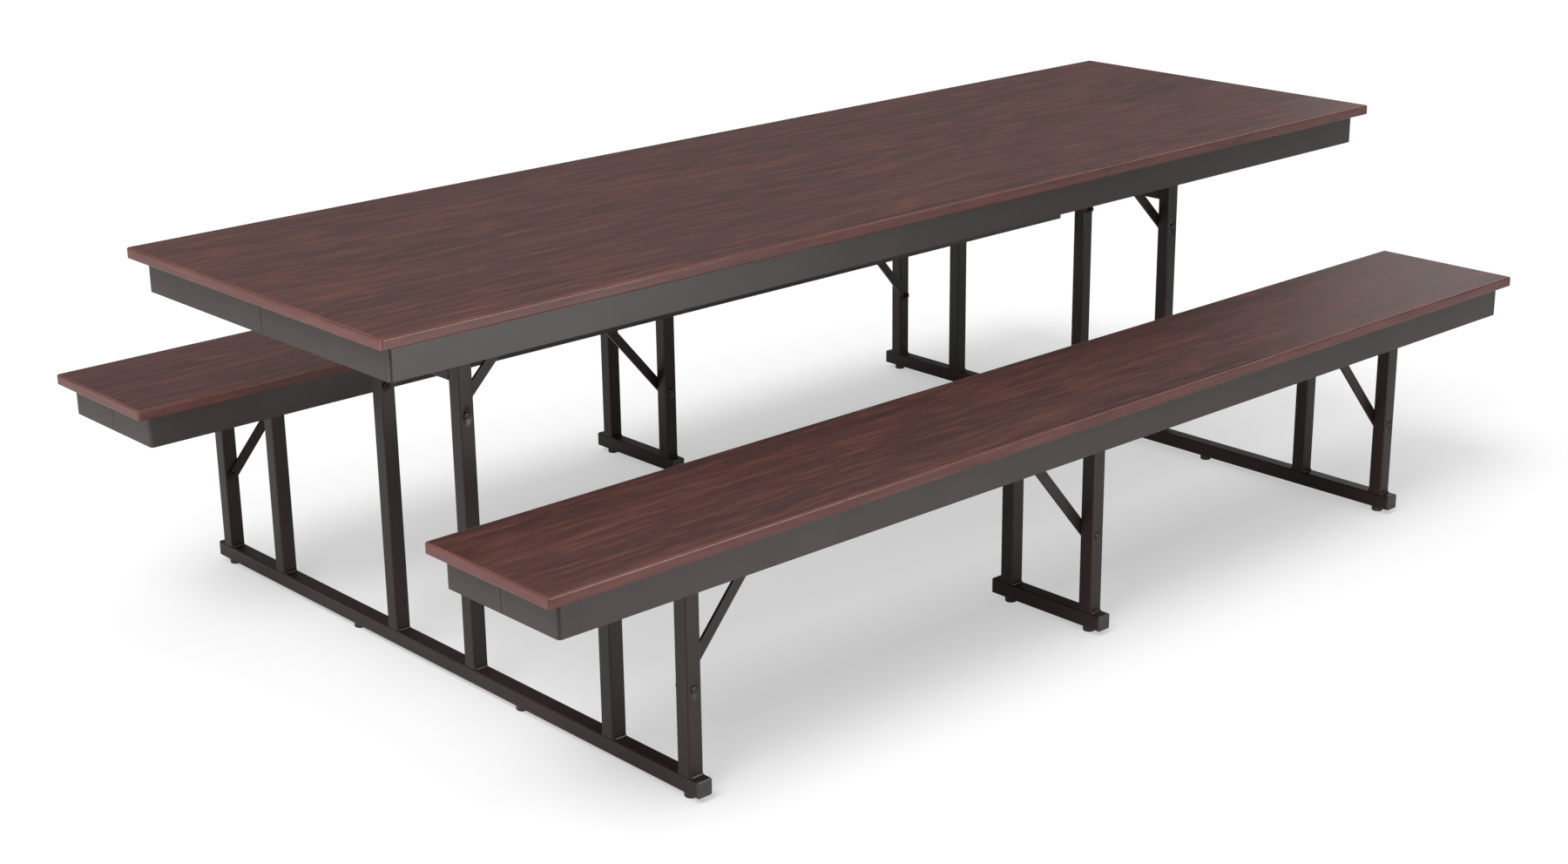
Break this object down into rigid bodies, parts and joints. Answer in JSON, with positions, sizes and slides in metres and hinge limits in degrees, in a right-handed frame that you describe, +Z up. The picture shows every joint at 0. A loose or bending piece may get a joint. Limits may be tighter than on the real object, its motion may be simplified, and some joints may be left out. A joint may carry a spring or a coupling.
{
  "type": "folding cafeteria table with attached benches",
  "caption": "Long laminate dining table joined to a bench on each side by folding square-tube leg frames, with steel aprons, flat braces and folding middle legs.",
  "frame": {"origin": "on the floor under the middle of the whole, where the glides stand", "axes": "+X along the table, +Y across it, +Z up"},
  "size_m": [2.456, 1.473, 0.737],
  "materials": {
    "laminate": "satin mahogany wood-grain laminate on a board",
    "edge_vinyl": "satin red-brown vinyl",
    "painted_sheet": "satin dark brown paint on folded steel sheet",
    "painted_tube": "satin dark brown paint on steel tube and bar",
    "dark_fastener": "painted bolt head",
    "zinc_fastener": "zinc-plated steel",
    "black_plastic": "moulded black-brown plastic"
  },
  "bodies": {
    "table": {"table_panel": "laminate", "table_edge_band": "edge_vinyl", "table_apron_near": "painted_sheet", "table_apron_far": "painted_sheet", "table_leg_brackets": "painted_sheet", "table_brace_catches": "painted_sheet", "table_pivot_bolts": "zinc_fastener", "table_screws": "zinc_fastener"},
    "left_frame": {"left_base_tube": "painted_tube", "left_base_caps": "black_plastic", "left_glides": "black_plastic", "left_table_posts": "painted_tube", "left_cross_rail": "painted_tube", "left_near_bench_posts": "painted_tube", "left_far_bench_posts": "painted_tube", "left_brace_bolts": "dark_fastener"},
    "right_frame": {"right_base_tube": "painted_tube", "right_base_caps": "black_plastic", "right_glides": "black_plastic", "right_table_posts": "painted_tube", "right_cross_rail": "painted_tube", "right_near_bench_posts": "painted_tube", "right_far_bench_posts": "painted_tube", "right_brace_bolts": "dark_fastener"},
    "near_bench": {"near_bench_panel": "laminate", "near_bench_edge_band": "edge_vinyl", "near_bench_apron_outer": "painted_sheet", "near_bench_apron_inner": "painted_sheet", "near_bench_leg_brackets": "painted_sheet", "near_bench_brace_catches": "painted_sheet", "near_bench_pivot_bolts": "zinc_fastener", "near_bench_screws": "zinc_fastener"},
    "far_bench": {"far_bench_panel": "laminate", "far_bench_edge_band": "edge_vinyl", "far_bench_apron_outer": "painted_sheet", "far_bench_apron_inner": "painted_sheet", "far_bench_leg_brackets": "painted_sheet", "far_bench_brace_catches": "painted_sheet", "far_bench_pivot_bolts": "zinc_fastener", "far_bench_screws": "zinc_fastener"},
    "near_mid_leg": {"near_mid_leg_base_tube": "painted_tube", "near_mid_leg_base_caps": "black_plastic", "near_mid_leg_glides": "black_plastic", "near_mid_leg_posts": "painted_tube", "near_mid_leg_brace_bolt": "dark_fastener"},
    "far_mid_leg": {"far_mid_leg_base_tube": "painted_tube", "far_mid_leg_base_caps": "black_plastic", "far_mid_leg_glides": "black_plastic", "far_mid_leg_posts": "painted_tube", "far_mid_leg_brace_bolt": "dark_fastener"},
    "left_table_braces": {"left_table_braces": "painted_tube"},
    "left_near_bench_brace": {"left_near_bench_brace": "painted_tube"},
    "left_far_bench_brace": {"left_far_bench_brace": "painted_tube"},
    "right_table_braces": {"right_table_braces": "painted_tube"},
    "right_near_bench_brace": {"right_near_bench_brace": "painted_tube"},
    "right_far_bench_brace": {"right_far_bench_brace": "painted_tube"},
    "near_mid_leg_brace": {"near_mid_leg_brace": "painted_tube"},
    "far_mid_leg_brace": {"far_mid_leg_brace": "painted_tube"}
  },
  "joints": [
    {"name": "left_frame_fold", "type": "hinge", "parent": "table", "child": "left_frame", "pos_m": [-0.913, 0, 0.688], "axis": [0, 1, 0], "range_deg": [0, 78]},
    {"name": "right_frame_fold", "type": "hinge", "parent": "table", "child": "right_frame", "pos_m": [0.895, 0, 0.688], "axis": [0, 1, 0], "range_deg": [0, 78]},
    {"name": "near_bench_swing", "type": "hinge", "parent": "left_frame", "child": "near_bench", "pos_m": [-0.913, -0.584, 0.383], "axis": [0, 1, 0], "range_deg": [-78, 0]},
    {"name": "far_bench_swing", "type": "hinge", "parent": "left_frame", "child": "far_bench", "pos_m": [-0.913, 0.584, 0.383], "axis": [0, 1, 0], "range_deg": [-78, 0]},
    {"name": "near_mid_leg_fold", "type": "hinge", "parent": "near_bench", "child": "near_mid_leg", "pos_m": [0.017, -0.584, 0.383], "axis": [0, 1, 0], "range_deg": [0, 78]},
    {"name": "far_mid_leg_fold", "type": "hinge", "parent": "far_bench", "child": "far_mid_leg", "pos_m": [0.017, 0.584, 0.383], "axis": [0, 1, 0], "range_deg": [0, 78]},
    {"name": "left_table_braces_swing", "type": "hinge", "parent": "left_frame", "child": "left_table_braces", "pos_m": [-0.913, 0, 0.488], "axis": [0, 1, 0], "range_deg": [0, 119.4]},
    {"name": "left_near_bench_brace_swing", "type": "hinge", "parent": "left_frame", "child": "left_near_bench_brace", "pos_m": [-0.913, -0.584, 0.183], "axis": [0, 1, 0], "range_deg": [0, 119.4]},
    {"name": "left_far_bench_brace_swing", "type": "hinge", "parent": "left_frame", "child": "left_far_bench_brace", "pos_m": [-0.913, 0.584, 0.183], "axis": [0, 1, 0], "range_deg": [0, 119.4]},
    {"name": "right_table_braces_swing", "type": "hinge", "parent": "right_frame", "child": "right_table_braces", "pos_m": [0.895, 0, 0.488], "axis": [0, 1, 0], "range_deg": [-119.4, 0]},
    {"name": "right_near_bench_brace_swing", "type": "hinge", "parent": "right_frame", "child": "right_near_bench_brace", "pos_m": [0.895, -0.584, 0.183], "axis": [0, 1, 0], "range_deg": [-119.4, 0]},
    {"name": "right_far_bench_brace_swing", "type": "hinge", "parent": "right_frame", "child": "right_far_bench_brace", "pos_m": [0.895, 0.584, 0.183], "axis": [0, 1, 0], "range_deg": [-119.4, 0]},
    {"name": "near_mid_leg_brace_swing", "type": "hinge", "parent": "near_mid_leg", "child": "near_mid_leg_brace", "pos_m": [0.017, -0.584, 0.183], "axis": [0, 1, 0], "range_deg": [-119.4, 0]},
    {"name": "far_mid_leg_brace_swing", "type": "hinge", "parent": "far_mid_leg", "child": "far_mid_leg_brace", "pos_m": [0.017, 0.584, 0.183], "axis": [0, 1, 0], "range_deg": [-119.4, 0]}
  ],
  "couplings": [
    {"joint": "right_frame_fold", "follows": "left_frame_fold", "ratio": 1},
    {"joint": "near_bench_swing", "follows": "left_frame_fold", "ratio": -1},
    {"joint": "far_bench_swing", "follows": "left_frame_fold", "ratio": -1},
    {"joint": "left_table_braces_swing", "follows": "left_frame_fold", "ratio": 1.53},
    {"joint": "left_near_bench_brace_swing", "follows": "left_frame_fold", "ratio": 1.53},
    {"joint": "left_far_bench_brace_swing", "follows": "left_frame_fold", "ratio": 1.53},
    {"joint": "right_table_braces_swing", "follows": "left_frame_fold", "ratio": -1.53},
    {"joint": "right_near_bench_brace_swing", "follows": "left_frame_fold", "ratio": -1.53},
    {"joint": "right_far_bench_brace_swing", "follows": "left_frame_fold", "ratio": -1.53},
    {"joint": "near_mid_leg_brace_swing", "follows": "near_mid_leg_fold", "ratio": -1.53},
    {"joint": "far_mid_leg_brace_swing", "follows": "far_mid_leg_fold", "ratio": -1.53}
  ]
}
